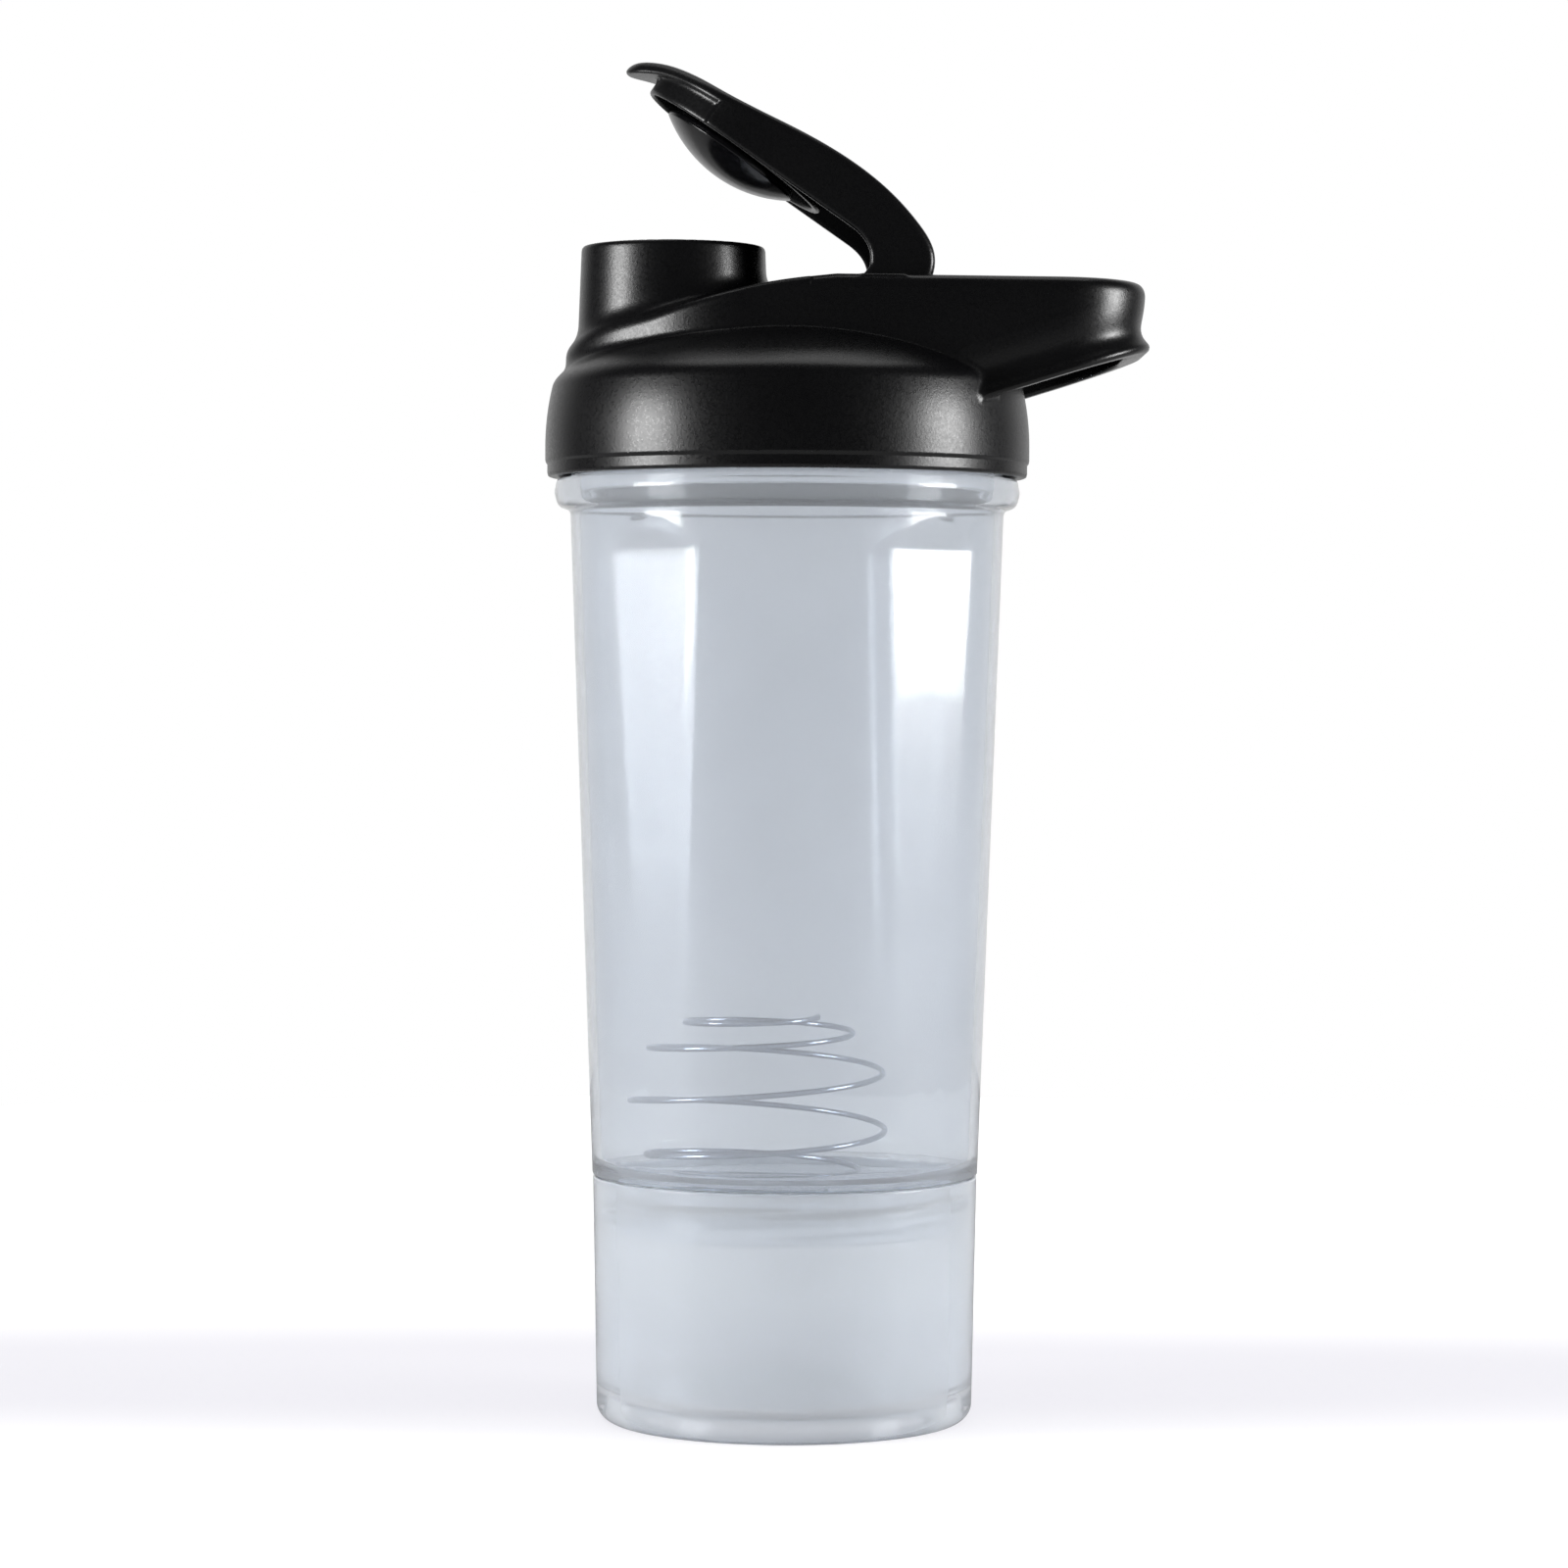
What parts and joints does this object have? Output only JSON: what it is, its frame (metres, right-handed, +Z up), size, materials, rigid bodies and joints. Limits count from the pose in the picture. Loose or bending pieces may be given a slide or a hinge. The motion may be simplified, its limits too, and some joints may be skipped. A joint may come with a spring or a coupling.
{
  "type": "protein shaker bottle",
  "caption": "Tall tapered drinking shaker with a flip-top pouring lid, carry loop, screw-on storage cup below and a loose wire mixing ball inside.",
  "frame": {"origin": "centre of the storage cup's foot ring, on the bottle's axis, on the surface it stands on", "axes": "+Z up along the bottle's axis, the spout towards -X, the carry loop towards +X, Y across along the cap's hinge"},
  "size_m": [0.1137, 0.0918, 0.2575],
  "materials": {
    "frosted_cup": "frosted translucent polypropylene, smooth outside, cool grey",
    "frosted_bottle": "frosted translucent polypropylene, smooth outside, cool grey",
    "clear_silicone": "translucent soft silicone",
    "steel_wire": "bright drawn stainless steel wire",
    "black_lid": "black polypropylene, fine spark-eroded grain, satin",
    "black_cap": "black polypropylene, satin",
    "black_plug": "glossy black soft moulding"
  },
  "bodies": {
    "cup": {"storage_cup": "frosted_cup"},
    "bottle_lifter": {"cup_gasket": "clear_silicone"},
    "bottle": {"bottle_body": "frosted_bottle"},
    "ball": {"mixing_ball": "steel_wire"},
    "lid_lifter": {"lid_gasket": "clear_silicone"},
    "lid": {"lid_shell": "black_lid"},
    "cap": {"flip_cap": "black_cap", "spout_plug": "black_plug"}
  },
  "joints": [
    {"name": "bottle_lift", "type": "slide", "parent": "cup", "child": "bottle_lifter", "axis": [0, 0, 1], "range_m": [0, 0.015]},
    {"name": "bottle_turn", "type": "hinge", "parent": "bottle_lifter", "child": "bottle", "pos_m": [0, 0, 0.0469], "axis": [0, 0, 1], "range_deg": [0, 674]},
    {"name": "ball_rise", "type": "slide", "parent": "bottle", "child": "ball", "axis": [0, 0, 1], "range_m": [0, 0.1]},
    {"name": "lid_lift", "type": "slide", "parent": "bottle", "child": "lid_lifter", "axis": [0, 0, 1], "range_m": [0, 0.02]},
    {"name": "lid_turn", "type": "hinge", "parent": "lid_lifter", "child": "lid", "pos_m": [0, 0, 0.195], "axis": [0, 0, 1], "range_deg": [0, 899]},
    {"name": "cap_hinge", "type": "hinge", "parent": "lid", "child": "cap", "pos_m": [0.0176, 0, 0.2123], "axis": [0, 1, 0], "range_deg": [-35, 56]}
  ],
  "couplings": [
    {"joint": "bottle_lift", "follows": "bottle_turn", "m_per_rad": 0.0012732},
    {"joint": "lid_lift", "follows": "lid_turn", "m_per_rad": 0.0012732}
  ]
}
